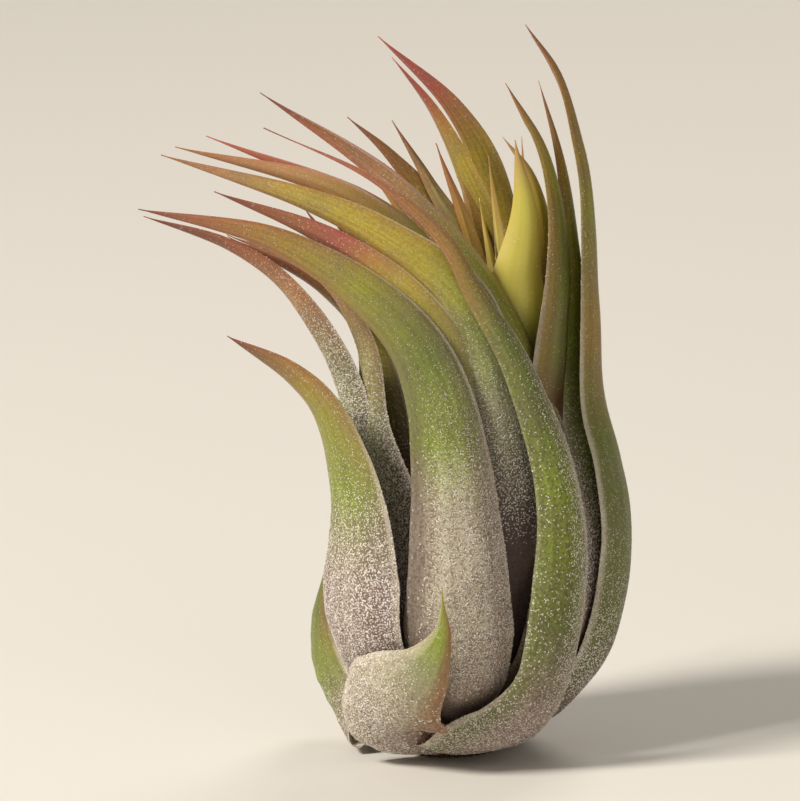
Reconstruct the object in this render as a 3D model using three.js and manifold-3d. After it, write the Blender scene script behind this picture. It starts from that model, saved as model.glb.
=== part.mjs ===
// An air plant: a rosette of channelled, tapering leaves set in a spiral on a short woody stem.
// The leaves swell into a bulb round the stem, and the older ones then sweep over to the left.
//
// Units are millimetres. +Z is up, +X is to the right and -Y is towards the viewer.
// The origin is the middle of the stem's flat underside, on the ground.

import * as THREE from 'three';
import { mergeVertices } from 'three/addons/utils/BufferGeometryUtils.js';
import Module from 'manifold-3d';

const wasm = await Module();
wasm.setup();

// ---- Driving dimensions ---------------------------------------------------------------------

const bulb = { radius: 17.4, baseRadius: 5.5, height: 22, drift: 2.6 }; // drift: its middle moves to +X
const stem = { radius: 6.2, topRadius: 0.8, height: 15 };
const spiral = { firstAngle: -109.5, step: 137.5, firstRoot: 0.6, rise: 0.33 }; // degrees; mm up the stem
const blade = {
  thick: 1.7, tipThick: 0.8, edgeThick: 0.6, tipWidth: 0.8,
  curl: 50, sheath: 0.62, swell: 0.22, full: 0.3,
};
const gap = 0.3; // clearance between neighbours

// From this leaf on (counted from 0) a ring has its own colour and facets, across and along a blade.
const rings = [
  { from: 26, colour: '#c3c25a', facets: [4, 10] },
  { from: 17, colour: '#b3ad4a', facets: [4, 12] },
  { from: 0, colour: '#8f9a72', facets: [6, 16] },
];

// ---- The leaves, from the oldest and lowest to the heart -------------------------------------
// A root follows the spiral, and the bulb carries the leaf up to the height `free`. From there it
// goes through the points of `path` to its tip. `curl` is half the arc of the blade's section and
// `turn` swings the blade's back round the stem on the way up, both in degrees. `full` is the
// share of the length after which the blade tapers, and `point` draws the tip out. `sheath` is the
// root's share of the full width, and `swell` the share of the length over which it widens.

const leaves = [
  { name: 'bract_front', width: 13, curl: 36, sheath: 0.45, swell: 0.5, free: 1, full: 0.48, point: 1.6,
    path: [[-5.2, -10.2, 2.5], [-7, -12.9, 5.4], [-6, -15.7, 9], [-2.9, -17.7, 12.9],
      [-1, -18.6, 17], [-0.9, -19, 22]] },
  { name: 'bract_right', width: 9, free: 4, full: 0.5,
    path: [[14, 7.5, 10], [15, 8, 15]] },
  { name: 'bract_left', width: 11.5, free: 1.5, full: 0.5, turn: 30,
    path: [[-11.4, 1.6, 2.5], [-14.2, 1.4, 6.6], [-15, 1.4, 13], [-13.8, 1.2, 19]] },
  { name: 'outer_front_right', width: 7.2, sheath: 2.2, swell: 0.21, free: 1.6, full: 0.32, point: 1.45,
    path: [[5.2, -10.4, 2.1], [8, -12.8, 4.8], [10.6, -14, 9.2], [12.1, -14.4, 16],
      [12.8, -14.4, 23], [12.6, -14.3, 29], [11.2, -14.2, 35.5], [6.9, -13.8, 46.4],
      [2.8, -13.2, 53], [-0.4, -12.6, 58.6], [-7.6, -11.5, 64.8], [-20, -8, 70.1]] },
  { name: 'outer_back', width: 11, free: 24,
    path: [[6, 13.5, 46], [4.5, 12, 61.6], [0.6, 11, 69], [-7.8, 10, 77]] },
  { name: 'outer_front_left', width: 13, free: 8, full: 0.42,
    path: [[-11.7, -10.8, 16], [-11.5, -10.6, 28], [-12.3, -10.4, 34], [-14.2, -10.2, 39.6],
      [-17.4, -9.8, 43.4], [-24, -9, 47.6]] },
  { name: 'outer_right', width: 12.5, curl: 60, free: 2.9, full: 0.15, point: 0.8,
    path: [[10.6, -1, 3.1], [14.6, -1, 6.6], [17.9, -1, 11.6], [19.8, -1, 23.5], [18.6, -1, 32.5],
      [16.8, -1, 39], [16.2, -1, 50], [15.4, -0.5, 62], [14.4, -0.3, 67], [11.9, 0, 74.8],
      [8.1, 0, 80]] },
  { name: 'outer_back_left', width: 11.5, free: 26,
    path: [[-7.5, 12, 41], [-9, 11, 52], [-16.5, 10, 62]] },
  { name: 'outer_front', width: 11.9, free: 4.2, full: 0.22,
    path: [[0.9, -13.4, 8.4], [0.9, -15.6, 14], [0.8, -16.2, 24], [0, -16, 34.9], [-1, -15.7, 41],
      [-3.3, -15.2, 47], [-8, -14.8, 52.4], [-14, -14.2, 56.6], [-20, -13.6, 59.4],
      [-33.3, -12, 62]] },
  { name: 'outer_back_right', width: 11.5, free: 24,
    path: [[8, 10, 42], [5.6, 8.4, 54.4], [2.6, 7.6, 62], [-1.4, 7, 69.4], [-6.3, 6, 75.4]] },
  { name: 'middle_left', width: 9, free: 18, turn: 28,
    path: [[-11.4, -2.8, 28], [-11.8, -4.6, 40.9], [-17.9, -4.2, 51.8], [-24, -4, 56.4],
      [-33, -4, 59.7]] },
  { name: 'middle_right', width: 10, free: 12,
    path: [[14, -7.6, 22], [11.3, -6.6, 36.3], [4.5, -6.8, 52.1], [-5.4, -6, 63.5], [-20.4, -5, 73.4]] },
  { name: 'middle_back', width: 10, free: 24,
    path: [[2.5, 8, 44], [-0.9, 5, 57.5], [-6.6, 3, 65.3], [-11.1, 2, 69.5]] },
  { name: 'middle_front_left', width: 7.5, free: 20, turn: -15,
    path: [[-8.8, -6, 36.4], [-9.6, -6.6, 46], [-14, -6.8, 53.5], [-24, -6.6, 58.2]] },
  { name: 'middle_right_back', width: 11, curl: 62, free: 9, turn: -40,
    path: [[14.7, 0, 12], [16.4, -0.4, 18], [17.3, -0.5, 26], [16.4, -0.4, 34], [14.5, 0, 43],
      [14, 0.8, 54.1], [12.4, 2, 64.5], [9.6, 3, 73.3]] },
  { name: 'middle_back_left', width: 10, free: 26,
    path: [[-8.5, 7.5, 42], [-10.5, 7, 50], [-16, 6, 59]] },
  { name: 'middle_front', width: 9, free: 14,
    path: [[7.4, -12.2, 28], [6.9, -12.4, 34.2], [5.7, -12.6, 40.4], [4.2, -12.6, 46.5],
      [1.8, -12.6, 52.4], [-6.3, -12.4, 58.8], [-14.1, -12, 62.6], [-30.9, -10.5, 67.6]] },
  { name: 'middle_back_deep', width: 9, free: 24,
    path: [[4.5, 8, 51], [0.3, 8, 65.3]] },
  { name: 'middle_left_deep', width: 8, free: 22, turn: 20,
    path: [[-8.5, -1.5, 43.6], [-13.5, -2.5, 51.1], [-24, -3, 57.3]] },
  { name: 'inner_right', width: 12, free: 20, full: 0.45,
    path: [[12.5, -3.2, 46], [12.8, -2.4, 53], [12.1, -1, 60.6], [10.2, 0.2, 66.8], [6, 1, 73.4]] },
  { name: 'inner_back_left', width: 8, free: 22,
    path: [[1.5, 4, 53.7], [-2.4, 3.5, 62.1], [-6.3, 3, 69]] },
  { name: 'inner_front', width: 9.4, free: 16,
    path: [[1, -12.4, 36], [-0.9, -13, 46.5], [-5.6, -13.3, 53.3], [-13.3, -13, 59.1],
      [-25.2, -12.5, 64]] },
  { name: 'inner_right_back', width: 8, free: 22,
    path: [[9, 4, 51.8], [7.8, 4, 67]] },
  { name: 'inner_left', width: 8, free: 22,
    path: [[-7, 2, 43.4], [-8.5, 1, 51.3], [-13.5, 0, 59.8]] },
  { name: 'inner_front_right', width: 8, free: 20,
    path: [[2, -9.6, 48], [-5, -9.6, 58.5], [-12, -9.8, 63.7], [-29.4, -9.5, 68.3]] },
  { name: 'inner_back', width: 7, free: 20,
    path: [[3, 3.6, 52.2], [-1.5, 4, 66.3]] },
  { name: 'heart_front_left', width: 7, free: 20,
    path: [[-4.5, -7, 47.1], [-9.5, -8, 55], [-17.4, -9, 60.5]] },
  { name: 'heart_right', width: 9, free: 20, full: 0.45, turn: -45,
    path: [[10.6, 0, 46], [10.8, 0.2, 53], [10.4, 0.4, 58.5], [8.8, 0.8, 63.5], [5.7, 1, 67.5]] },
  { name: 'heart_back_left', width: 6, free: 20,
    path: [[-1.5, 3, 50.9], [-9, 3, 64.1]] },
  { name: 'heart_front', width: 12, free: 18, full: 0.45,
    path: [[7.4, -4.6, 42], [7.4, -4, 52.3], [8.1, -2.8, 59.7], [7, -1.6, 67.6]] },
  { name: 'heart_right_back', width: 6, free: 20,
    path: [[6.2, 3, 49.1], [4.2, 4, 64.9]] },
  { name: 'heart_left', width: 6, free: 20,
    path: [[-1.5, 0, 50], [-3.6, 0, 62.3]] },
  { name: 'heart_front_right', width: 6.5, free: 18,
    path: [[2.5, -7, 48], [-2.5, -8, 57.5], [-9, -8.2, 62.5], [-26.1, -8.5, 69.3]] },
  { name: 'heart_back', width: 5, free: 18,
    path: [[5.2, 1.8, 46], [3.2, 3.2, 60.4]] },
];

// ---- The bulb's rule -------------------------------------------------------------------------

const { clamp, degToRad, lerp, smoothstep } = THREE.MathUtils;

const bulbMiddle = (z) => bulb.drift * smoothstep(z, 0, bulb.height);
const bulbRadius = (z) => {
  const below = 1 - Math.min(z / bulb.height, 1);
  return bulb.baseRadius + (bulb.radius - bulb.baseRadius) * Math.sqrt(1 - below ** 2);
};
const stemRadius = (z) => lerp(stem.radius, stem.topRadius, clamp(z / stem.height, 0, 1));

// The blades that have left the stem below height z share the room between it and the bulb's skin.
function layerRadius(order, z) {
  const below = clamp((z - spiral.firstRoot) / spiral.rise, 0, leaves.length);
  const share = Math.min((order + 0.5) / (below + 0.5), 1);
  return lerp(bulbRadius(z), stemRadius(z), share ** 1.2);
}

const azimuth = (order) => degToRad(spiral.firstAngle + order * spiral.step);
const ringOf = (order) => rings.find((ring) => order >= ring.from);

// The line that the blade's back follows from its root to its tip.
function spineOf(leaf, order) {
  const root = spiral.firstRoot + spiral.rise * order;
  const points = [];
  for (const share of [0, 0.06, 0.16, 0.34, 0.6, 1]) {
    const z = lerp(root, Math.max(leaf.free, root + 0.4), share);
    const r = layerRadius(order, z);
    const a = azimuth(order);
    points.push(new THREE.Vector3(bulbMiddle(z) + r * Math.cos(a), r * Math.sin(a), z));
  }
  for (const point of leaf.path) points.push(new THREE.Vector3(...point));
  return new THREE.CatmullRomCurve3(points, false, 'centripetal');
}

// ---- One blade -------------------------------------------------------------------------------

// Half width: a sheath round the stem, the full blade, then the taper to the tip.
function halfWidth(leaf, s) {
  const sheath = lerp(leaf.sheath ?? blade.sheath, 1, smoothstep(s, 0, leaf.swell ?? blade.swell));
  const taper = clamp((1 - s) / (1 - (leaf.full ?? blade.full)), 0, 1) ** (leaf.point ?? 1);
  return Math.max(leaf.width * sheath * taper, blade.tipWidth) / 2;
}

// A box bent onto the spine: its top is the blade's rounded back and its bottom the hollow face.
// `extra` swells it all round, to cut the clearance that a neighbour needs.
function bladeGeometry(leaf, order, extra = 0) {
  const spine = spineOf(leaf, order);
  const [facetsAcross, facetsAlong] = ringOf(order).facets;
  const box = new THREE.BoxGeometry(2, 1, 1, facetsAcross, 1, facetsAlong);
  const at = box.attributes.position;
  const point = new THREE.Vector3();
  for (let i = 0; i < at.count; i++) {
    const step = clamp(at.getZ(i) + 0.5, 0, 1);
    const s = step * lerp(0.7, 1, step); // shorter facets near the root
    const side = at.getX(i);
    const tangent = spine.getTangentAt(s);
    const facing = azimuth(order) + degToRad(leaf.turn ?? 0) * smoothstep(s, 0.2, 0.5);
    const back = new THREE.Vector3(Math.cos(facing), Math.sin(facing), smoothstep(s, 0, 0.3) - 1);
    back.addScaledVector(tangent, -back.dot(tangent)).normalize();
    const across = new THREE.Vector3().crossVectors(back, tangent);

    const half = halfWidth(leaf, s);
    const curl = degToRad(leaf.curl ?? blade.curl);
    const radius = (half + extra) / Math.sin(curl);
    const angle = side * curl;
    const middle = lerp(blade.thick * Math.min(leaf.width / 10, 1), blade.tipThick, smoothstep(s, 0.3, 1));
    const thickest = (0.8 * half) / Math.sin(curl); // so that the narrow tip isn't turned inside out
    const thick = Math.min(lerp(middle, blade.edgeThick, side ** 2), thickest);
    const depth = at.getY(i) > 0 ? -extra : thick + extra;

    spine.getPointAt(s, point);
    point.addScaledVector(across, (radius - depth) * Math.sin(angle));
    point.addScaledVector(back, (radius - depth) * Math.cos(angle) - radius);
    if (step === 0) point.addScaledVector(tangent, -extra);
    if (step === 1) point.addScaledVector(tangent, extra);
    at.setXYZ(i, point.x, point.y, point.z);
  }
  return box;
}

// ---- Solids ----------------------------------------------------------------------------------

function toSolid(geometry) {
  const bare = geometry.clone();
  bare.deleteAttribute('normal');
  bare.deleteAttribute('uv');
  const merged = mergeVertices(bare, 1e-4);
  return new wasm.Manifold(
    new wasm.Mesh({
      numProp: 3,
      vertProperties: merged.attributes.position.array,
      triVerts: new Uint32Array(merged.index.array),
    }),
  );
}

function toGeometry(solid) {
  const { vertProperties, triVerts } = solid.getMesh();
  const geometry = new THREE.BufferGeometry();
  geometry.setAttribute('position', new THREE.BufferAttribute(vertProperties, 3));
  geometry.setIndex(new THREE.BufferAttribute(triVerts, 1));
  geometry.computeVertexNormals();
  return geometry;
}

const largestOf = (solid) => solid.decompose().sort((a, b) => b.volume() - a.volume())[0];

function stemGeometry(extra = 0) {
  const profile = [new THREE.Vector2(0, -extra), new THREE.Vector2(stem.radius - 0.6 + extra, -extra)];
  for (const z of [0.8, 4, 8, 12, stem.height]) profile.push(new THREE.Vector2(stemRadius(z) + extra, z));
  profile.push(new THREE.Vector2(0, stem.height + 0.6 + extra));
  return new THREE.LatheGeometry(profile, 20).rotateX(Math.PI / 2);
}

// ---- Assembly --------------------------------------------------------------------------------

const part = new THREE.Group();
function addNode(name, solid, colour) {
  const material = new THREE.MeshStandardMaterial({ color: colour, roughness: 0.8, metalness: 0 });
  const node = new THREE.Mesh(toGeometry(solid), material);
  node.name = name;
  part.add(node);
}

addNode('stem', toSolid(stemGeometry()), '#7a4f2c');

// From the heart outwards, so that an older blade is hollowed where it lies on a younger one.
const placed = [toSolid(stemGeometry(gap))];
const blades = [];
for (let order = leaves.length - 1; order >= 0; order--) {
  const leaf = leaves[order];
  let solid = toSolid(bladeGeometry(leaf, order));
  for (const inner of placed) solid = solid.subtract(inner);
  placed.push(toSolid(bladeGeometry(leaf, order, gap)));
  const name = `leaf_${String(order + 1).padStart(2, '0')}_${leaf.name}`;
  blades.unshift([name, largestOf(solid).asOriginal().simplify(0.06), ringOf(order).colour]);
}
for (const entry of blades) addNode(...entry);

export default part;
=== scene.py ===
# %% [markdown]
# # An air plant
# An air plant grows as a rosette: narrow, channelled leaves stand in a spiral on a short woody
# stem. Their broad bases wrap round each other into a bulb, and their tips taper to a point.
# Here the older leaves sweep over to the left. The surface is the other half of the likeness,
# because every leaf wears a coat of tiny silver scales that thins out towards its tip.
#
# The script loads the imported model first. Every leaf of that model is then replaced by a finer
# one, which is made from the same rule and the same path, so it stands where the model has it.
# Only its margins and its tip are thinner, as they are on a grown leaf.

import bmesh
import bpy
import numpy as np
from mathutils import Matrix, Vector


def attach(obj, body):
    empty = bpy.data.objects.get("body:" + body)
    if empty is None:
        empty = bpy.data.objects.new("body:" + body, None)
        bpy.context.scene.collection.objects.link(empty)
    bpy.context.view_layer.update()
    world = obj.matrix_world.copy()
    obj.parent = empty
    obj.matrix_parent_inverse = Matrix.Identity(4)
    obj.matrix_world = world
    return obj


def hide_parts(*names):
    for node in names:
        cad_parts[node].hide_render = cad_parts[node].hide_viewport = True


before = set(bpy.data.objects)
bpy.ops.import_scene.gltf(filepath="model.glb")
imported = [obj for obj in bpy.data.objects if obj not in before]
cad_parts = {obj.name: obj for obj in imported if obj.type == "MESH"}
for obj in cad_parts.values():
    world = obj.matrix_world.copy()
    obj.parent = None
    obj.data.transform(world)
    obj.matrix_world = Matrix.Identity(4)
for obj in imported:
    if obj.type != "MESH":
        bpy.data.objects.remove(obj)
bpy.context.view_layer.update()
MM = 0.001

# %% [markdown]
# ## Camera
# The view is nearly level, 12 degrees above the floor. A long lens from 0.9 m keeps the leaves
# in front from looking larger than the ones behind, as in a picture taken from further off.

# %% Camera
VIEW_RISE = np.radians(12)
VIEW_DISTANCE = 0.9
VIEW_CENTRE = Vector((-0.0054, 0, 0.0386))
VIEW_WIDTH = 0.087
SENSOR = 36.0


def aimed(thing, place, target):
    """Puts a camera or lamp at a place, looking at the target."""
    thing.location = place
    thing.rotation_euler = (Vector(target) - Vector(place)).to_track_quat("-Z", "Y").to_euler()
    bpy.context.scene.collection.objects.link(thing)
    return thing


camera = bpy.data.objects.new("camera", bpy.data.cameras.new("camera"))
camera.data.sensor_width = SENSOR
camera.data.lens = SENSOR * VIEW_DISTANCE / VIEW_WIDTH
camera.data.clip_end = 20
away = Vector((0, -np.cos(VIEW_RISE), np.sin(VIEW_RISE)))
aimed(camera, VIEW_CENTRE + away * VIEW_DISTANCE, VIEW_CENTRE)
bpy.context.scene.camera = camera
print("lens", round(camera.data.lens), "mm")

# %% [markdown]
# ## The bulb's rule
# Each leaf's root sits on a spiral, 137.5 degrees round from the last one and a third of a
# millimetre above it. Inside the bulb the leaves share the room between the stem and the bulb's
# skin, so the oldest one lies outermost. The lengths here are in millimetres.

# %% The bulb's rule
BULB_RADIUS, BULB_BASE, BULB_HEIGHT, BULB_DRIFT = 17.4, 5.5, 22, 2.6
STEM_RADIUS, STEM_TOP, STEM_HEIGHT = 6.2, 0.8, 15
FIRST_ANGLE, STEP_ANGLE, FIRST_ROOT, RISE = -109.5, 137.5, 0.6, 0.33
CROWDING = 1.2  # above 1 it moves the leaves outwards, towards the bulb's skin


def smoothstep(x, low, high):
    t = np.clip((x - low) / (high - low), 0, 1)
    return t * t * (3 - 2 * t)


def lerp(a, b, t):
    return a + (b - a) * t


def layer_point(order, count, z):
    """Where leaf number `order` lies in the bulb at height z."""
    below = np.clip((z - FIRST_ROOT) / RISE, 0, count)
    share = min((order + 0.5) / (below + 0.5), 1)
    to_widest = 1 - min(z / BULB_HEIGHT, 1)
    skin = BULB_BASE + (BULB_RADIUS - BULB_BASE) * np.sqrt(1 - to_widest**2)
    core = lerp(STEM_RADIUS, STEM_TOP, np.clip(z / STEM_HEIGHT, 0, 1))
    middle = BULB_DRIFT * smoothstep(z, 0, BULB_HEIGHT)
    r = lerp(skin, core, share**CROWDING)
    a = np.radians(FIRST_ANGLE + order * STEP_ANGLE)
    return [middle + r * np.cos(a), r * np.sin(a), z]


def smooth_line(knots, steps=40):
    """Centripetal Catmull-Rom through the knots: a curve that passes through each, with no loops."""
    knots = np.array(knots, float)
    ends = np.vstack([2 * knots[0] - knots[1], knots, 2 * knots[-1] - knots[-2]])
    pace = np.sqrt(np.linalg.norm(np.diff(ends, axis=0), axis=1))
    t = np.linspace(0, 1, steps, endpoint=False)[:, None]
    line = []
    for i in range(len(knots) - 1):
        (p0, p1, p2, p3), (d0, d1, d2) = ends[i : i + 4], pace[i : i + 3]
        m1 = ((p1 - p0) / d0 - (p2 - p0) / (d0 + d1) + (p2 - p1) / d1) * d1
        m2 = ((p2 - p1) / d1 - (p3 - p1) / (d1 + d2) + (p3 - p2) / d2) * d1
        squared = 3 * (p2 - p1) - 2 * m1 - m2
        cubed = 2 * (p1 - p2) + m1 + m2
        line.append(p1 + m1 * t + squared * t**2 + cubed * t**3)
    return np.vstack([*line, knots[-1:]])


# %% [markdown]
# ## Colours
# Colours are written as sRGB hex codes, the way a picture shows them, and one function turns them
# into the linear values that Blender reckons with. The skin under the scales runs from a pinkish
# grey at the foot of a leaf, through green and olive, to brown or red at its tip.

# %% Colours
def colour(code):
    """An sRGB hex code as a linear colour."""
    parts = [int(code[i : i + 2], 16) / 255 for i in (1, 3, 5)]
    return (*[c / 12.92 if c <= 0.04045 else ((c + 0.055) / 1.055) ** 2.4 for c in parts], 1)


# The darkest mauve is painted shade, laid on the parts of leaves that lie in the shadow of others.
FOOT, MAUVE, SHADED_MAUVE = "#a5938a", "#84706f", "#5f4f4d"
BONE, SAGE, STRAW = "#c4bba4", "#a0a27c", "#b0aa70"
SPRING, MOSS, OLIVE = "#8a9c34", "#74803a", "#97983c"
GOLD, PALE, BRONZE = "#bba943", "#d6d06a", "#a38541"
TAN, BROWN, RUST = "#b98f62", "#a06a48", "#b1604f"
# The umber is painted shade, laid on the foot of an inner leaf deep among the others.
ROSE, PLUM, SHADED_UMBER = "#bb5f5c", "#7c4540", "#5b4124"
LEMON = "#c3b952"
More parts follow.
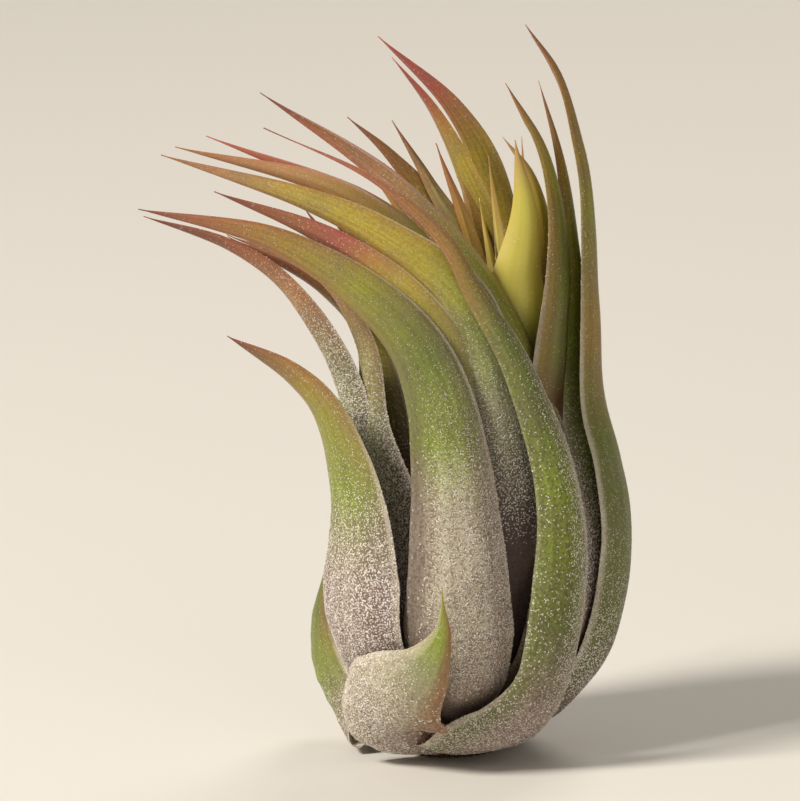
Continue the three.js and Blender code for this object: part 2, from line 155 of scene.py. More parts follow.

# %% [markdown]
# ## The leaves
# The list runs from the oldest leaf, at the foot, to the heart. These words give a leaf's shape:
#
# - `width` is its full width in millimetres, and `curl` half the arc of its section in degrees.
# - `sheath` is the root's share of the full width, and `swell` the share of the length over which
#   it widens. After the share `full` it tapers, and a `point` above 1 draws the tip out.
# - `free` is the height up to which the leaf lies in the bulb. From there it goes through the
#   points of `path` to its tip. `turn` swings its back round on the way up, in degrees.
#
# And these give its looks. Left and right are as seen by someone who faces the leaf's back.
#
# - `tones` has the skin's colour at shares of the length. `sides` has the hues of the left and the
#   right flank, which last up to the share `shade_and_hue_reach`. They are partly the flank's own
#   hue and partly painted shade, darker where a flank is turned from the light or lies against
#   another leaf. `blush` is how red the upper flanks turn.
# - `silver` is the share of the length up to which the scales stay dense, and `sparse` how many
#   are left beyond it. `bare` says how much of its coat the left and the right flank goes without,
#   and how far from the middle the bare part begins. On some leaves a flank really has fewer
#   scales; on others the bare flank is painted shade, its darker skin standing for a shadow.

# %% The leaves
# by default both flanks turn mauve low on the leaf: painted shade where they curl in against the leaves
# beside them
USUAL = dict(curl=50, sheath=0.62, swell=0.22, full=0.3, point=1, turn=0,
             sides=(MAUVE, MAUVE), shade_and_hue_reach=0.35, blush=0.25, sparse=0.24, bare=(0, 0, 0))
LEAVES = [
    # Its right flank is brown and bare of scales, partly the bract's own brown and partly painted shade
    # on the side away from the light.
    dict(name="bract_front", width=13, curl=36, sheath=0.45, swell=0.5, free=1, full=0.48, point=1.6,
         silver=0.5, sides=(BONE, BROWN), shade_and_hue_reach=0.8, bare=(0, 0.85, -0.1), blush=0,
         tones=[(0.2, FOOT), (0.45, BONE), (0.64, SAGE), (0.8, SPRING), (1, OLIVE)],
         path=[(-5.2, -10.2, 2.5), (-7, -12.9, 5.4), (-6, -15.7, 9), (-2.9, -17.7, 12.9),
               (-1, -18.6, 17), (-0.9, -19, 22)]),
    dict(name="bract_right", width=9, free=4, full=0.5, silver=0.5,
         tones=[(0, FOOT), (0.6, OLIVE), (1, BROWN)], path=[(14, 7.5, 10), (15, 8, 15)]),
    dict(name="bract_left", width=11.5, free=1.5, full=0.5, turn=30, silver=0.4, sides=(SAGE, FOOT),
         tones=[(0, FOOT), (0.3, SAGE), (0.5, SPRING), (0.8, MOSS), (1, MOSS)],
         path=[(-11.4, 1.6, 2.5), (-14.2, 1.4, 6.6), (-15, 1.4, 13), (-13.8, 1.2, 19)]),
    dict(name="outer_front_right", width=7.2, sheath=2.2, swell=0.21, free=1.6, full=0.32, point=1.45,
         silver=0.5, sparse=0.3, sides=(MOSS, BONE), bare=(0.8, 0, -0.3),
         tones=[(0, FOOT), (0.14, FOOT), (0.26, MOSS), (0.42, SPRING), (0.52, MOSS), (0.62, MOSS),
                (0.72, BRONZE), (0.86, BROWN), (0.94, RUST), (1, PLUM)],
         path=[(5.2, -10.4, 2.1), (8, -12.8, 4.8), (10.6, -14, 9.2), (12.1, -14.4, 16),
               (12.8, -14.4, 23), (12.6, -14.3, 29), (11.2, -14.2, 35.5), (6.9, -13.8, 46.4),
               (2.8, -13.2, 53), (-0.4, -12.6, 58.6), (-7.6, -11.5, 64.8), (-20, -8, 70.1)]),
    dict(name="outer_back", width=11, free=24, silver=0.4, blush=0.1,
         tones=[(0.3, FOOT), (0.5, OLIVE), (0.62, GOLD), (0.8, GOLD), (0.9, RUST), (1, ROSE)],
         path=[(6, 13.5, 46), (4.5, 12, 61.6), (0.6, 11, 69), (-7.8, 10, 77)]),
    dict(name="outer_front_left", width=13, free=8, full=0.42, silver=0.5,
         tones=[(0.1, FOOT), (0.42, FOOT), (0.6, SPRING), (0.74, OLIVE), (0.86, BRONZE), (1, PLUM)],
         path=[(-11.7, -10.8, 16), (-11.5, -10.6, 28), (-12.3, -10.4, 34), (-14.2, -10.2, 39.6),
               (-17.4, -9.8, 43.4), (-24, -9, 47.6)]),
    dict(name="outer_right", width=12.5, curl=60, free=2.9, full=0.15, point=0.8, silver=0.2,
         sides=(MOSS, FOOT), blush=0.1,
         tones=[(0.06, MAUVE), (0.14, MAUVE), (0.24, MOSS), (0.45, MOSS), (0.6, BRONZE), (0.75, OLIVE),
                (0.88, BRONZE), (1, BROWN)],
         path=[(10.6, -1, 3.1), (14.6, -1, 6.6), (17.9, -1, 11.6), (19.8, -1, 23.5),
               (18.6, -1, 32.5), (16.8, -1, 39), (16.2, -1, 50), (15.4, -0.5, 62),
               (14.4, -0.3, 67), (11.9, 0, 74.8), (8.1, 0, 80)]),
    dict(name="outer_back_left", width=11.5, free=26, silver=0.5,
         tones=[(0.3, FOOT), (0.55, OLIVE), (0.8, BRONZE), (1, RUST)],
         path=[(-7.5, 12, 41), (-9, 11, 52), (-16.5, 10, 62)]),
    # Its left flank is painted shadow: dark mauve and nearly bare of scales, where the leaf on its left
    # shades it.
    dict(name="outer_front", width=11.9, free=4.2, full=0.22, silver=0.42,
         sides=(SHADED_MAUVE, FOOT), bare=(0.95, 0, 0.3),
         tones=[(0.08, FOOT), (0.25, BONE), (0.37, BONE), (0.47, SPRING), (0.58, MOSS), (0.7, OLIVE),
                (0.82, BRONZE), (0.92, BROWN), (1, PLUM)],
         path=[(0.9, -13.4, 8.4), (0.9, -15.6, 14), (0.8, -16.2, 24), (0, -16, 34.9), (-1, -15.7, 41),
               (-3.3, -15.2, 47), (-8, -14.8, 52.4), (-14, -14.2, 56.6), (-20, -13.6, 59.4),
               (-33.3, -12, 62)]),
    dict(name="outer_back_right", width=11.5, free=24, silver=0.4, blush=0.1,
         tones=[(0.3, FOOT), (0.55, OLIVE), (0.7, GOLD), (0.84, GOLD), (0.93, RUST), (1, ROSE)],
         path=[(8, 10, 42), (5.6, 8.4, 54.4), (2.6, 7.6, 62), (-1.4, 7, 69.4), (-6.3, 6, 75.4)]),
    dict(name="middle_left", width=9, free=18, turn=28, silver=0.6,
         tones=[(0.1, FOOT), (0.4, SAGE), (0.6, SAGE), (0.72, TAN), (0.84, BROWN), (1, PLUM)],
         path=[(-11.4, -2.8, 28), (-11.8, -4.6, 40.9), (-17.9, -4.2, 51.8), (-24, -4, 56.4),
               (-33, -4, 59.7)]),
    dict(name="middle_right", width=10, free=12, silver=0.35,
         tones=[(0.3, FOOT), (0.5, OLIVE), (0.65, OLIVE), (0.8, TAN), (0.92, BROWN), (1, PLUM)],
         path=[(14, -7.6, 22), (11.3, -6.6, 36.3), (4.5, -6.8, 52.1), (-5.4, -6, 63.5),
               (-20.4, -5, 73.4)]),
    dict(name="middle_back", width=10, free=24, silver=0.35,
         tones=[(0.4, FOOT), (0.6, MOSS), (0.75, GOLD), (0.88, BRONZE), (1, BROWN)],
         path=[(2.5, 8, 44), (-0.9, 5, 57.5), (-6.6, 3, 65.3), (-11.1, 2, 69.5)]),
    dict(name="middle_front_left", width=7.5, free=20, turn=-15, silver=0.55,
         tones=[(0.3, MAUVE), (0.55, SAGE), (0.66, STRAW), (0.8, TAN), (1, BROWN)],
         path=[(-8.8, -6, 36.4), (-9.6, -6.6, 46), (-14, -6.8, 53.5), (-24, -6.6, 58.2)]),
    dict(name="middle_right_back", width=11, curl=62, free=9, turn=-40, silver=0.4,
         tones=[(0.3, MAUVE), (0.42, SPRING), (0.66, SPRING), (0.8, OLIVE), (0.9, BRONZE), (1, TAN)],
         path=[(14.7, 0, 12), (16.4, -0.4, 18), (17.3, -0.5, 26), (16.4, -0.4, 34), (14.5, 0, 43),
               (14, 0.8, 54.1), (12.4, 2, 64.5), (9.6, 3, 73.3)]),
    dict(name="middle_back_left", width=10, free=26, silver=0.4,
         tones=[(0.4, FOOT), (0.65, OLIVE), (0.85, BROWN), (1, RUST)],
         path=[(-8.5, 7.5, 42), (-10.5, 7, 50), (-16, 6, 59)]),
    # The dark mauve low on this leaf is painted shade from the leaves in front of it.
    dict(name="middle_front", width=9, free=14, silver=0.42,
         tones=[(0.1, MAUVE), (0.3, SHADED_MAUVE), (0.44, SAGE), (0.54, SPRING), (0.68, GOLD), (0.82, GOLD),
                (0.92, TAN), (1, BROWN)],
         path=[(7.4, -12.2, 28), (6.9, -12.4, 34.2), (5.7, -12.6, 40.4), (4.2, -12.6, 46.5),
               (1.8, -12.6, 52.4), (-6.3, -12.4, 58.8), (-14.1, -12, 62.6), (-30.9, -10.5, 67.6)]),
    dict(name="middle_back_deep", width=9, free=24, silver=0.2, sparse=0.12,
         tones=[(0.5, MOSS), (0.75, GOLD), (1, BRONZE)], path=[(4.5, 8, 51), (0.3, 8, 65.3)]),
    dict(name="middle_left_deep", width=8, free=22, turn=20, silver=0.4,
         tones=[(0.4, MAUVE), (0.65, OLIVE), (0.85, BROWN), (1, BROWN)],
         path=[(-8.5, -1.5, 43.6), (-13.5, -2.5, 51.1), (-24, -3, 57.3)]),
    # Its umber foot is painted shade: it lies deep behind the leaves in front.
    dict(name="inner_right", width=12, free=20, full=0.45, silver=0.25, sparse=0.12,
         blush=0.05, sides=(BRONZE, MOSS), shade_and_hue_reach=0.75,
         tones=[(0.4, SHADED_UMBER), (0.5, SHADED_UMBER), (0.58, MOSS), (0.74, MOSS), (0.84, OLIVE), (0.93, BRONZE),
                (1, BROWN)],
         path=[(12.5, -3.2, 46), (12.8, -2.4, 53), (12.1, -1, 60.6), (10.2, 0.2, 66.8), (6, 1, 73.4)]),
    dict(name="inner_back_left", width=8, free=22, silver=0.1, sparse=0.12,
         tones=[(0.5, MOSS), (0.72, GOLD), (0.85, STRAW), (1, BROWN)],
         path=[(1.5, 4, 53.7), (-2.4, 3.5, 62.1), (-6.3, 3, 69)]),
    dict(name="inner_front", width=9.4, free=16, silver=0.35,
         tones=[(0.2, FOOT), (0.4, SAGE), (0.55, OLIVE), (0.7, GOLD), (0.8, RUST), (0.88, BROWN),
                (1, PLUM)],
         path=[(1, -12.4, 36), (-0.9, -13, 46.5), (-5.6, -13.3, 53.3), (-13.3, -13, 59.1),
               (-25.2, -12.5, 64)]),
    dict(name="inner_right_back", width=8, free=22, silver=0.1, sparse=0.1,
         tones=[(0.5, MOSS), (0.72, GOLD), (0.92, GOLD), (1, TAN)], path=[(9, 4, 51.8), (7.8, 4, 67)]),
    dict(name="inner_left", width=8, free=22, silver=0.25, sparse=0.2,
         tones=[(0.5, MOSS), (0.7, OLIVE), (0.85, BROWN), (1, BRONZE)],
         path=[(-7, 2, 43.4), (-8.5, 1, 51.3), (-13.5, 0, 59.8)]),
    dict(name="inner_front_right", width=8, free=20, silver=0.3,
         tones=[(0.3, FOOT), (0.5, MOSS), (0.62, OLIVE), (0.74, BRONZE), (0.86, TAN), (1, BROWN)],
         path=[(2, -9.6, 48), (-5, -9.6, 58.5), (-12, -9.8, 63.7), (-29.4, -9.5, 68.3)]),
    dict(name="inner_back", width=7, free=20, silver=0.1, sparse=0.1,
         tones=[(0.5, MOSS), (0.75, GOLD), (1, BROWN)], path=[(3, 3.6, 52.2), (-1.5, 4, 66.3)]),
    dict(name="heart_front_left", width=7, free=20, silver=0.2, sparse=0.2,
         tones=[(0.5, SAGE), (0.7, OLIVE), (0.88, BROWN), (1, RUST)],
         path=[(-4.5, -7, 47.1), (-9.5, -8, 55), (-17.4, -9, 60.5)]),
    dict(name="heart_right", width=9, free=20, full=0.45, turn=-45, silver=0.05, sparse=0.06,
         tones=[(0.5, BRONZE), (0.72, BRONZE), (0.86, GOLD), (1, TAN)],
         path=[(10.6, 0, 46), (10.8, 0.2, 53), (10.4, 0.4, 58.5), (8.8, 0.8, 63.5), (5.7, 1, 67.5)]),
    dict(name="heart_back_left", width=6, free=20, silver=0.05, sparse=0.06,
         tones=[(0.5, OLIVE), (0.8, GOLD), (1, TAN)], path=[(-1.5, 3, 50.9), (-9, 3, 64.1)]),
    dict(name="heart_front", width=12, free=18, full=0.45, silver=0.0, sparse=0.03, blush=0.1,
         tones=[(0.4, SPRING), (0.62, OLIVE), (0.72, LEMON), (0.9, LEMON), (1, TAN)],
         path=[(7.4, -4.6, 42), (7.4, -4, 52.3), (8.1, -2.8, 59.7), (7, -1.6, 67.6)]),
    dict(name="heart_right_back", width=6, free=20, silver=0.0, sparse=0.06,
         tones=[(0.5, OLIVE), (0.8, PALE), (1, BRONZE)], path=[(6.2, 3, 49.1), (4.2, 4, 64.9)]),
    dict(name="heart_left", width=6, free=20, silver=0.0, sparse=0.06,
         tones=[(0.5, OLIVE), (0.8, GOLD), (1, BRONZE)], path=[(-1.5, 0, 50), (-3.6, 0, 62.3)]),
    dict(name="heart_front_right", width=6.5, free=18, silver=0.1, sparse=0.25,
         tones=[(0.4, MOSS), (0.62, OLIVE), (0.8, BROWN), (1, RUST)],
         path=[(2.5, -7, 48), (-2.5, -8, 57.5), (-9, -8.2, 62.5), (-26.1, -8.5, 69.3)]),
    dict(name="heart_back", width=5, free=18, silver=0.0, sparse=0.06,
         tones=[(0.5, OLIVE), (0.85, PALE), (1, GOLD)], path=[(5.2, 1.8, 46), (3.2, 3.2, 60.4)]),
]
LEAVES = [{**USUAL, **leaf} for leaf in LEAVES]
print(len(LEAVES), "leaves")

# %% [markdown]
# ## The shape of one leaf
# A leaf is a long tube that is pressed into a channel: a rounded back, a hollow face and a thin
# margin on either side. The tube comes from create_cone, is cut crossways by subdivide_edges, and
# then each vertex is moved to its place on the leaf. A texture alone would leave the outline
# smooth, so the lengthwise ribs and the slow waver of a grown leaf are in the shape itself.

# %% The line, width and thickness of a leaf
THICK, TIP_THICK, EDGE_THICK, TIP_WIDTH = 1.7, 0.8, 0.3, 0.14
BROAD, THINS_FROM, EDGE_FALL, MOST_OF_RADIUS = 10, 0.3, 2.2, 0.85
SHEATH_STEPS, SHORTEST_SHEATH = (0, 0.06, 0.16, 0.34, 0.6, 1), 0.4
TURNING, RIGHTING = (0.2, 0.5), (0, 0.3)  # shares of the length


def half_width(leaf, s):
    sheath = lerp(leaf["sheath"], 1, smoothstep(s, 0, leaf["swell"]))
    taper = np.clip((1 - s) / (1 - leaf["full"]), 0, 1) ** leaf["point"]
    return np.maximum(leaf["width"] * sheath * taper, TIP_WIDTH) / 2


def thickness(leaf, s, u):
    """Leaves that aren't BROAD are thinner. `most` keeps a narrow tip from turning inside out."""
    middle = lerp(THICK * min(leaf["width"] / BROAD, 1), TIP_THICK, smoothstep(s, THINS_FROM, 1))
    most = MOST_OF_RADIUS * half_width(leaf, s) / np.sin(np.radians(leaf["curl"]))
    return np.minimum(lerp(middle, EDGE_THICK, np.abs(u) ** EDGE_FALL), most)


def bent(leaf, order, s, u, depth):
    """Points of a leaf: s runs from root to tip, u from margin to margin, depth into the flesh."""
    root = FIRST_ROOT + RISE * order
    top = max(leaf["free"], root + SHORTEST_SHEATH)
    heights = [lerp(root, top, step) for step in SHEATH_STEPS]
    line = smooth_line([layer_point(order, len(LEAVES), z) for z in heights] + leaf["path"])
    reach = np.r_[0, np.cumsum(np.linalg.norm(np.diff(line, axis=0), axis=1))]
    slope = np.gradient(line, reach, axis=0)

    def at(values):
        return np.stack([np.interp(s * reach[-1], reach, values[:, k]) for k in range(3)], 1)

    middle, tangent = at(line), at(slope)
    tangent /= np.linalg.norm(tangent, axis=1)[:, None]
    turn = leaf["turn"] * smoothstep(s, *TURNING)
    facing = np.radians(FIRST_ANGLE + order * STEP_ANGLE + turn)
    # the back looks down and out at the root, and straight out further up
    back = np.stack([np.cos(facing), np.sin(facing), smoothstep(s, *RIGHTING) - 1], 1)
    back -= (back * tangent).sum(1)[:, None] * tangent
    back /= np.linalg.norm(back, axis=1)[:, None]
    across = np.cross(back, tangent)

    curl = np.radians(leaf["curl"])
    radius = half_width(leaf, s) / np.sin(curl)
    x = (radius - depth) * np.sin(u * curl)
    y = (radius - depth) * np.cos(u * curl) - radius
    return middle + across * x[:, None] + back * y[:, None]


# %% Where scales grow, and the colour of the skin
SILVER_BEFORE, SILVER_AFTER = 0.1, 0.26  # the scales thin out over this much about `silver`
FIRST_HIDDEN, HIDDEN_PER_LEAF, MOST_HIDDEN = 5, 0.018, 0.5
FLANK_FADE, FRINGE, TIP_LOSS = 0.4, 0.8, 0.75
HOLLOW_LOSS, HOLLOW_FOOT_LOSS = 0.55, 0.45
SMALL_SCALE, LARGE_SCALE = 0.075, 0.12  # radius in mm
SMOOTH_LEAVES, LEAST_STREAKY = (18, 29), 0.15  # the heart leaves are smoother than the outer ones
SIDE_SHARE, SHADE_AND_HUE_FADE = 0.75, 0.35
# ranges of shares, from the middle to the margin, then along the leaf
MARGIN, SIDE, FLANK = (0.84, 0.97), (0.25, 0.85), (0.2, 0.9)
TIP, ABOVE_FOOT, FRINGE_END = (0.8, 1), (0.08, 0.2), (0.6, 0.9)
HOLLOW_FOOT, RIM_END, BLUSHING = (0.3, 0.45), (0.5, 0.85), (0.5, 0.8)


def leaf_marks(leaf, order, s, u, inside):
    """What the materials and the coat of scales need to know at each vertex."""
    dense = 1 - smoothstep(s, leaf["silver"] - SILVER_BEFORE, leaf["silver"] + SILVER_AFTER)
    coat = lerp(leaf["sparse"], 1, dense) * (1 - TIP_LOSS * smoothstep(s, *TIP))
    # older leaves cover the foot of a later one, so no scales are spent there
    hidden = 0 if order < FIRST_HIDDEN else min(order * HIDDEN_PER_LEAF, MOST_HIDDEN)
    seen = smoothstep(s, hidden - 0.05, hidden + 0.03)
    # a bare flank is partly a real lack of scales and partly painted shade: dark skin where a
    # neighbour's shadow falls
    left, right, start = leaf["bare"]
    end = start + FLANK_FADE
    flank = left * smoothstep(u, start, end) + right * smoothstep(-u, start, end)
    kept = 1 - flank * smoothstep(s, *ABOVE_FOOT)
    # scales fringe the margins, and on the hollow face they are few, and fewest near the foot
    margin = smoothstep(np.abs(u), *MARGIN) * kept
    fringe = margin * (1 - smoothstep(s, *FRINGE_END)) * FRINGE
    lost = HOLLOW_LOSS + HOLLOW_FOOT_LOSS * (1 - smoothstep(s, *HOLLOW_FOOT))
    hollow = 1 - inside * lost
    return {
        "along": s,
        "across": u,
        "silver": dense,
        "streaky": np.full_like(s, lerp(1, LEAST_STREAKY, smoothstep(order, *SMOOTH_LEAVES))),
        "rim": margin * (1 - smoothstep(s, *RIM_END)),
        "fuzz": np.clip((coat * kept + fringe) * seen * hollow, 0, 1),
        "fleck": lerp(SMALL_SCALE, LARGE_SCALE, dense) * MM,
    }


def leaf_tone(leaf, s, u):
    """The skin's linear colour: the leaf's tones down its middle, other hues, partly painted shade,
    towards its sides.
    """
    stops, codes = zip(*leaf["tones"])
    hues = np.array([colour(code) for code in codes])
    tone = np.stack([np.interp(s, stops, hues[:, k]) for k in range(4)], 1)
    left, right = (np.array(colour(code)) for code in leaf["sides"])
    fading = 1 - smoothstep(s, leaf["shade_and_hue_reach"], leaf["shade_and_hue_reach"] + SHADE_AND_HUE_FADE)
    low = SIDE_SHARE * smoothstep(np.abs(u), *SIDE) * fading
    tone = lerp(tone, np.where(u[:, None] > 0, left, right), low[:, None])
    high = leaf["blush"] * smoothstep(np.abs(u), *FLANK) * smoothstep(s, *BLUSHING)
    return lerp(tone, np.array(colour(ROSE)), high[:, None])


# %% The mesh of a leaf
AROUND, ALONG = 48, 130
ROOT_STEPS = 0.75  # under 1 it puts more of the mesh's rings near the root
HOLLOW_FROM = 0.45  # how far round the tube the hollow face has begun
RIB_HEIGHT, RIBS, RIB_DRIFT = 0.04, (3.7, 6.1, 9.4), 3
WAVER, LONG_WAVES, SHORT_WAVES = 0.14, 17, 41


def ribbing(s, u, order):
    """Faint grooves along the leaf, which drift a little so that no two run quite alike."""
    waves = [
        np.cos(u * pitch + RIB_DRIFT * np.sin(s * 4 + order + k) + 2 * k)
        for k, pitch in enumerate(RIBS)
    ]
    return RIB_HEIGHT * sum(waves) * smoothstep(s, 0.02, 0.25) * (1 - smoothstep(s, 0.75, 1))


def wavering(s, u, order):
    """A slow unevenness of long waves, within which shorter ones swell and fade."""
    long_waves = np.sin(s * LONG_WAVES + order * 2.1)
    short_waves = np.sin(s * SHORT_WAVES + u * 2 + order)
    return WAVER * long_waves * short_waves * smoothstep(s, 0.1, 0.4)


def ringed_tube(around, cuts):
    """A closed unit tube with a map for baking, cut crossways into rings."""
    bm = bmesh.new()
    bm.loops.layers.uv.new("OFBake")
    bmesh.ops.create_cone(
        bm, cap_ends=True, segments=around, radius1=1, radius2=1, depth=1, calc_uvs=True
    )
    lengthwise = [e for e in bm.edges if abs(e.verts[0].co.z - e.verts[1].co.z) > 0.5]
    bmesh.ops.subdivide_edges(bm, edges=lengthwise, cuts=cuts)
    return bm


def finished(bm, name):
    """The smooth mesh of the shape, with its faces turned outwards."""
    bmesh.ops.recalc_face_normals(bm, faces=bm.faces)
    mesh = bpy.data.meshes.new(name)
    bm.to_mesh(mesh)
    bm.free()
    mesh.shade_smooth()
    return mesh


def blade_mesh(leaf, order):
    bm = ringed_tube(AROUND, ALONG - 1)
    tube = np.array([v.co for v in bm.verts])
    step = np.clip(tube[:, 2] + 0.5, 0, 1)
    s = step * lerp(ROOT_STEPS, 1, step)
    u = tube[:, 0]
    inside = smoothstep(-tube[:, 1], 0, HOLLOW_FROM)  # 0 on the back, 1 on the hollow face

    unevenness = ribbing(s, u, order) - wavering(s, u, order)
    depth = thickness(leaf, s, u) * inside + unevenness * (1 - s)
    places = bent(leaf, order, s, u, depth) * MM
    for vertex, place in zip(bm.verts, places):
        vertex.co = place
    mesh = finished(bm, leaf["name"])

    for name, values in leaf_marks(leaf, order, s, u, inside).items():
        mesh.attributes.new(name, "FLOAT", "POINT").data.foreach_set("value", values.astype(np.float32))
    tone = mesh.attributes.new("tone", "FLOAT_COLOR", "POINT")
    tone.data.foreach_set("color", leaf_tone(leaf, s, u).astype(np.float32).ravel())
    return mesh


# %% All the leaves
leaf_pieces = []
for order, leaf in enumerate(LEAVES):
    node = f"leaf_{order + 1:02d}_{leaf['name']}"
    piece = bpy.data.objects.new(f"{node}_grown", blade_mesh(leaf, order))
    bpy.context.scene.collection.objects.link(piece)
    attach(piece, "root")
    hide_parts(node)
    leaf_pieces.append(piece)
print(sum(len(p.data.polygons) for p in leaf_pieces), "faces in the leaves")

# %% [markdown]
# ## Leaf skin
# The flesh of the leaf is a waxy skin over pale, moist tissue, so a little light goes in and comes
# out again. The colour and the pale margins come from the vertices. Nodes then add what is too
# fine for them: streaks that run along the leaf, patches of a few millimetres, and dark grains
# between the scales.

# %% Nodes
def add(tree, kind, settings=None, **inputs):
    """Adds a node. Each input is a value, or the output socket that feeds it.

    Inputs go by their label, with _ for a blank, or by their number, as in i0.
    """
    node = tree.nodes.new(kind)
    for key, value in (settings or {}).items():
        setattr(node, key, value)
    for key, value in inputs.items():
        socket = node.inputs[int(key[1:]) if key[1:].isdigit() else key.replace("_", " ")]
        if isinstance(value, bpy.types.NodeSocket):
            tree.links.new(value, socket)
        else:
            socket.default_value = value
    return node


def mark(tree, name, output="Fac"):
    return add(tree, "ShaderNodeAttribute", {"attribute_name": name}).outputs[output]


def blended(tree, share, first, second, how="MIX"):
    """Lays the second colour over the first."""
    kind = {"data_type": "RGBA", "blend_type": how}
    return add(tree, "ShaderNodeMix", kind, i0=share, i6=first, i7=second).outputs[2]


def spread(tree, value, low, high, start=0.0, end=1.0):
    """Stretches the values from low to high over the range from start to end."""
    ranges = dict(From_Min=low, From_Max=high, To_Min=start, To_Max=end)
    return add(tree, "ShaderNodeMapRange", Value=value, **ranges).outputs[0]


def reckon(tree, how, a, b=0.0):
    return add(tree, "ShaderNodeMath", {"operation": how}, i0=a, i1=b).outputs[0]


def noise(tree, place, scale, detail):
    return add(tree, "ShaderNodeTexNoise", Vector=place, Scale=scale, Detail=detail).outputs[0]


def stretched(tree, place, factors):
    kind = {"operation": "MULTIPLY"}
    return add(tree, "ShaderNodeVectorMath", kind, i0=place, i1=factors).outputs[0]


def new_material(name):
    material = bpy.data.materials.new(name)
    material.use_nodes = True
    return material, material.node_tree, material.node_tree.nodes["Principled BSDF"]


# %% The skin
STREAKS_ACROSS, STREAK_BREAKS = 5, 4  # cells of the noise in half a width, and in a length
PATCH_MM, GRAIN_MM = 3.5, 0.3
DRY, STREAK, WORN, BETWEEN_SCALES = "#ddd2c0", "#b39c6c", "#77655c", "#4a3b33"


def leaf_skin():
    material, tree, shader = new_material("air plant leaf, waxy skin")
    place = add(tree, "ShaderNodeTexCoord").outputs["Object"]
    silver, streaky = mark(tree, "silver"), mark(tree, "streaky")
    across, along = mark(tree, "across"), mark(tree, "along")
    strip = add(tree, "ShaderNodeCombineXYZ", X=across, Y=along).outputs[0]
    streaks = noise(tree, stretched(tree, strip, (STREAKS_ACROSS, STREAK_BREAKS, 0)), 1.0, 4.0)
    patches = noise(tree, place, 1 / (PATCH_MM * MM), 2.0)
    grains = noise(tree, place, 1 / (GRAIN_MM * MM), 1.0)

    tone = mark(tree, "tone", "Color")
    # the thin margins are dry and pale, except near the tip
    rim = spread(tree, mark(tree, "rim"), 0, 1, 0.0, 0.85)
    dry = blended(tree, rim, tone, colour(DRY))
    drawn = reckon(tree, "MULTIPLY", spread(tree, streaks, 0.35, 0.65, 0.0, 0.45), streaky)
    streaked = blended(tree, drawn, dry, colour(STREAK), "MULTIPLY")
    worn = reckon(tree, "MULTIPLY", spread(tree, patches, 0.42, 0.7, 0.0, 0.3), streaky)
    patchy = blended(tree, worn, streaked, colour(WORN))
    # the gaps between scales look dark, in grains a little coarser than real so that they show
    bare = reckon(tree, "MULTIPLY", streaky, spread(tree, silver, 0, 1, 0.2, 0.55))
    gaps = reckon(tree, "MULTIPLY", spread(tree, grains, 0.45, 0.62), bare)
    flecked = blended(tree, gaps, patchy, colour(BETWEEN_SCALES))
    tree.links.new(flecked, shader.inputs["Base Color"])
    tree.links.new(spread(tree, silver, 0, 1, 0.45, 0.7), shader.inputs["Roughness"])
    relief = add(tree, "ShaderNodeBump", Strength=0.6, Distance=0.06 * MM, Height=streaks)
    tree.links.new(relief.outputs[0], shader.inputs["Normal"])
    shader.inputs["IOR"].default_value = 1.45
    shader.inputs["Subsurface Weight"].default_value = 0.1
    shader.inputs["Subsurface Radius"].default_value = (1.0, 0.9, 0.4)
    shader.inputs["Subsurface Scale"].default_value = 0.6 * MM
    return material


skin = leaf_skin()
for piece in leaf_pieces:
    piece.data.materials.append(skin)

# %% [markdown]
# ## The coat of scales
# Air plants drink through tiny shield-shaped scales. They are dry and full of air, so they look
# silver white, and they are what makes the bulb pale and the leaves dusty. A speckled texture
# would lie flat, so each scale is a low, five-sided cone about a fifth of a millimetre across. A
# Geometry Nodes group scatters them over a blade, thickly where the mark `fuzz` is high, and tips
# each one a little at random. The result becomes a plain mesh.

# %% The scale's material
WHITE, CREAM, TINT_MM = "#ece8df", "#cbc1b4", 0.6


def scale_tissue():
    material, tree, shader = new_material("leaf scale, dry air-filled tissue")
    place = add(tree, "ShaderNodeTexCoord").outputs["Object"]
    own = noise(tree, place, 1 / (TINT_MM * MM), 0.0)
    pale = blended(tree, spread(tree, own, 0.35, 0.65), colour(WHITE), colour(CREAM))
    # sparse scales near the tip are thin, and the skin's colour comes through them
    thin = spread(tree, mark(tree, "silver"), 0, 1, 0.55, 0.14)
    tree.links.new(blended(tree, thin, pale, mark(tree, "tone", "Color")), shader.inputs["Base Color"])
    tree.links.new(spread(tree, own, 0.3, 0.7, 0.45, 0.6), shader.inputs["Roughness"])
    shader.inputs["IOR"].default_value = 1.4
    shader.inputs["Subsurface Weight"].default_value = 0.2
    shader.inputs["Subsurface Radius"].default_value = (1.0, 1.0, 0.9)
    shader.inputs["Subsurface Scale"].default_value = 0.1 * MM
    return material


# %% The scatter
SPACING, MOST_PER_MM2 = 0.15, 26
SCALE_SIDES, SCALE_HEIGHT = 5, 0.36  # the height is a share of the scale's radius
TILT, LEAST_SIZE, MOST_SIZE = 0.3, 0.7, 1.3  # radians, then shares of the leaf's scale size
BAKE_STRIP, BAKE_SPOT = 0.08, 0.04


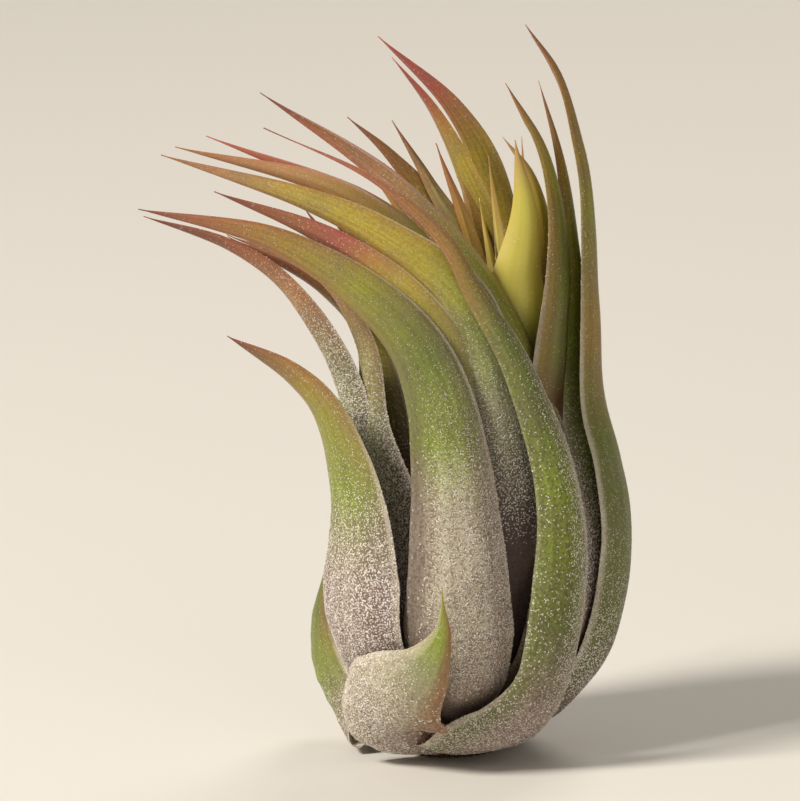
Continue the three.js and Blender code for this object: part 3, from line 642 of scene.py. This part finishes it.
def coat_of_scales(tissue):
    group = bpy.data.node_groups.new("coat of scales", "GeometryNodeTree")
    for way in ("INPUT", "OUTPUT"):
        group.interface.new_socket("Blade", in_out=way, socket_type="NodeSocketGeometry")
    blade = add(group, "NodeGroupInput").outputs[0]

    def named(name, kind="FLOAT"):
        source = add(group, "GeometryNodeInputNamedAttribute", {"data_type": kind}, Name=name)
        return source.outputs[0]

    def with_map(shape, places):
        kind = {"data_type": "FLOAT2", "domain": "CORNER"}
        return add(group, "GeometryNodeStoreNamedAttribute", kind, Geometry=shape, Name="OFBake",
                   Value=places).outputs[0]

    spots = add(group, "GeometryNodeDistributePointsOnFaces", {"distribute_method": "POISSON"},
                Mesh=blade, Distance_Min=SPACING * MM, Density_Max=MOST_PER_MM2 / MM**2,
                Density_Factor=named("fuzz"))
    cone = add(group, "GeometryNodeMeshCone", {"fill_type": "NGON"}, Vertices=SCALE_SIDES,
               Radius_Top=0.0, Radius_Bottom=1.0, Depth=SCALE_HEIGHT)
    mapped = with_map(cone.outputs["Mesh"], cone.outputs["UV Map"])
    lean = add(group, "FunctionNodeRandomValue", {"data_type": "FLOAT_VECTOR"},
               i0=(-TILT, -TILT, 0), i1=(TILT, TILT, np.pi)).outputs[0]
    tipped = add(group, "FunctionNodeEulerToRotation", i0=lean).outputs[0]
    turned = add(group, "FunctionNodeRotateRotation", {"rotation_space": "LOCAL"},
                 i0=spots.outputs["Rotation"], i1=tipped).outputs[0]
    luck = add(group, "FunctionNodeRandomValue", {"data_type": "FLOAT"},
               i2=LEAST_SIZE, i3=MOST_SIZE, Seed=7).outputs[1]
    size = reckon(group, "MULTIPLY", named("fleck"), luck)
    placed = add(group, "GeometryNodeInstanceOnPoints", Points=spots.outputs["Points"], Instance=mapped,
                 Rotation=turned, Scale=size).outputs[0]
    loose = add(group, "GeometryNodeRealizeInstances", i0=placed).outputs[0]

    # A bake needs room for the scales on the leaf's map: they share a strip along its lower edge.
    split = add(group, "ShaderNodeSeparateXYZ", i0=named("OFBake", "FLOAT_VECTOR")).outputs
    start = reckon(group, "MULTIPLY", named("along"), 1 - BAKE_SPOT)
    x = reckon(group, "ADD", start, reckon(group, "MULTIPLY", split[0], BAKE_SPOT))
    y = reckon(group, "MULTIPLY", split[1], BAKE_STRIP)
    strip = with_map(loose, add(group, "ShaderNodeCombineXYZ", X=x, Y=y).outputs[0])
    dressed = add(group, "GeometryNodeSetMaterial", Geometry=strip, Material=tissue).outputs[0]
    both = add(group, "GeometryNodeJoinGeometry", Geometry=blade)
    group.links.new(dressed, both.inputs[0])
    add(group, "NodeGroupOutput", i0=both.outputs[0])
    return group


# %% Every leaf gets its coat
def make_room(mesh):
    """Lifts a blade's bake map clear of the strip that the scales use."""
    layer = mesh.uv_layers["OFBake"].data
    flat = np.empty(len(layer) * 2, np.float32)
    layer.foreach_get("uv", flat)
    flat[1::2] = lerp(BAKE_STRIP * 1.2, 1, flat[1::2])
    layer.foreach_set("uv", flat)


def apply_modifiers(piece):
    """Puts the mesh that the piece's modifiers make in the place of its own."""
    graph = bpy.context.evaluated_depsgraph_get()
    made = piece.evaluated_get(graph)
    mesh = bpy.data.meshes.new_from_object(made, preserve_all_data_layers=True, depsgraph=graph)
    piece.modifiers.clear()
    piece.data = mesh


coat = coat_of_scales(scale_tissue())
blade_faces = len(leaf_pieces[0].data.polygons)
for piece in leaf_pieces:
    make_room(piece.data)
    piece.modifiers.new("coat", "NODES").node_group = coat
    apply_modifiers(piece)
scale_counts = [(len(p.data.polygons) - blade_faces) // (SCALE_SIDES + 1) for p in leaf_pieces]
print(sum(scale_counts), "scales, at most", max(scale_counts), "on a leaf")

# %% [markdown]
# ## The stem
# Under the leaves the stem is short and woody, wrapped in the dry fibres of leaves that have
# gone. Only its foot shows. It is a cone from create_cone, cut into rings, whose wall is then
# drawn in and out in narrow ridges, because fibres cast shadows of their own.

# %% The stem
FIBRES, FIBRE_DEPTH, STEM_RINGS = 37, 0.3, 24
BEVEL_HEIGHT, BEVEL_SLOPE = 0.8, 0.75  # the foot's edge is drawn in
FIBRE_MM, FIBRE_LENGTH_MM = 0.4, 4
BARK, STRAND = "#4a2f1c", "#8d6a45"


def stem_mesh():
    bm = ringed_tube(FIBRES * 6, STEM_RINGS)
    for vertex in bm.verts:
        z = (vertex.co.z + 0.5) * STEM_HEIGHT
        angle = np.arctan2(vertex.co.y, vertex.co.x)
        bevel = STEM_RADIUS - BEVEL_SLOPE * max(BEVEL_HEIGHT - z, 0)
        wall = min(bevel, lerp(STEM_RADIUS, STEM_TOP, z / STEM_HEIGHT))
        # the grooves wander, so that the stem doesn't look turned on a lathe
        groove = 0.5 + 0.5 * np.cos(FIBRES * angle + 2.2 * np.sin(z * 0.8) + 1.4 * np.sin(5 * angle))
        r = wall - FIBRE_DEPTH * groove * min(wall / STEM_RADIUS * 1.4, 1)
        vertex.co = Vector((r * np.cos(angle), r * np.sin(angle), z)) * MM
    return finished(bm, "stem")


def stem_wood():
    """Dead leaf fibre: matt, brown, streaked lengthwise in bundles of about 0.4 mm."""
    material, tree, shader = new_material("air plant stem, dry fibre")
    place = add(tree, "ShaderNodeTexCoord").outputs["Object"]
    thin, long = 1 / (FIBRE_MM * MM), 1 / (FIBRE_LENGTH_MM * MM)
    fibres = noise(tree, stretched(tree, place, (thin, thin, long)), 1.0, 3.0)
    brown = blended(tree, spread(tree, fibres, 0.35, 0.65), colour(BARK), colour(STRAND))
    tree.links.new(brown, shader.inputs["Base Color"])
    relief = add(tree, "ShaderNodeBump", Strength=0.7, Distance=0.1 * MM, Height=fibres)
    tree.links.new(relief.outputs[0], shader.inputs["Normal"])
    shader.inputs["Roughness"].default_value = 0.85
    return material


stem = bpy.data.objects.new("stem_fibrous", stem_mesh())
stem.data.materials.append(stem_wood())
bpy.context.scene.collection.objects.link(stem)
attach(stem, "root")
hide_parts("stem")
print("stem", [round(d / MM, 1) for d in stem.dimensions], "mm")

# %% [markdown]
# ## Floor and light
# The floor is plain and pale. A soft lamp to the left, above and in front gives the leaves their
# bright side. A weak one on the right opens the shadows, and one behind on the right draws a
# light edge along the leaves.

# %% Floor and light
floor_bm = bmesh.new()
bmesh.ops.create_grid(floor_bm, x_segments=1, y_segments=1, size=4)
floor_mesh = bpy.data.meshes.new("floor")
floor_bm.to_mesh(floor_mesh)
floor_bm.free()
floor = bpy.data.objects.new("floor", floor_mesh)
bpy.context.scene.collection.objects.link(floor)
floor_paint, _, floor_shader = new_material("pale matt floor")
floor_shader.inputs["Base Color"].default_value = colour("#dad7d0")
floor_shader.inputs["Roughness"].default_value = 0.9
floor.data.materials.append(floor_paint)


def soft_lamp(name, place, size, power, tint):
    lamp = bpy.data.lights.new(name, "AREA")
    lamp.shape = "DISK"
    lamp.size = size
    lamp.energy = power
    lamp.color = colour(tint)[:3]
    return aimed(bpy.data.objects.new(name, lamp), Vector(place), (0, 0, 0.04))


soft_lamp("key", (-0.7, -0.42, 0.75), 0.3, 14, "#fff8ee")
soft_lamp("fill", (0.5, -0.8, 0.45), 0.8, 1.3, "#fff6ec")
soft_lamp("back", (0.35, 0.7, 0.8), 0.5, 4, "#fff6ec")
world = bpy.data.worlds.new("studio")
world.use_nodes = True
world.node_tree.nodes["Background"].inputs["Color"].default_value = colour("#f2eee8")
world.node_tree.nodes["Background"].inputs["Strength"].default_value = 0.25
bpy.context.scene.world = world
bpy.context.scene.view_settings.view_transform = "Standard"
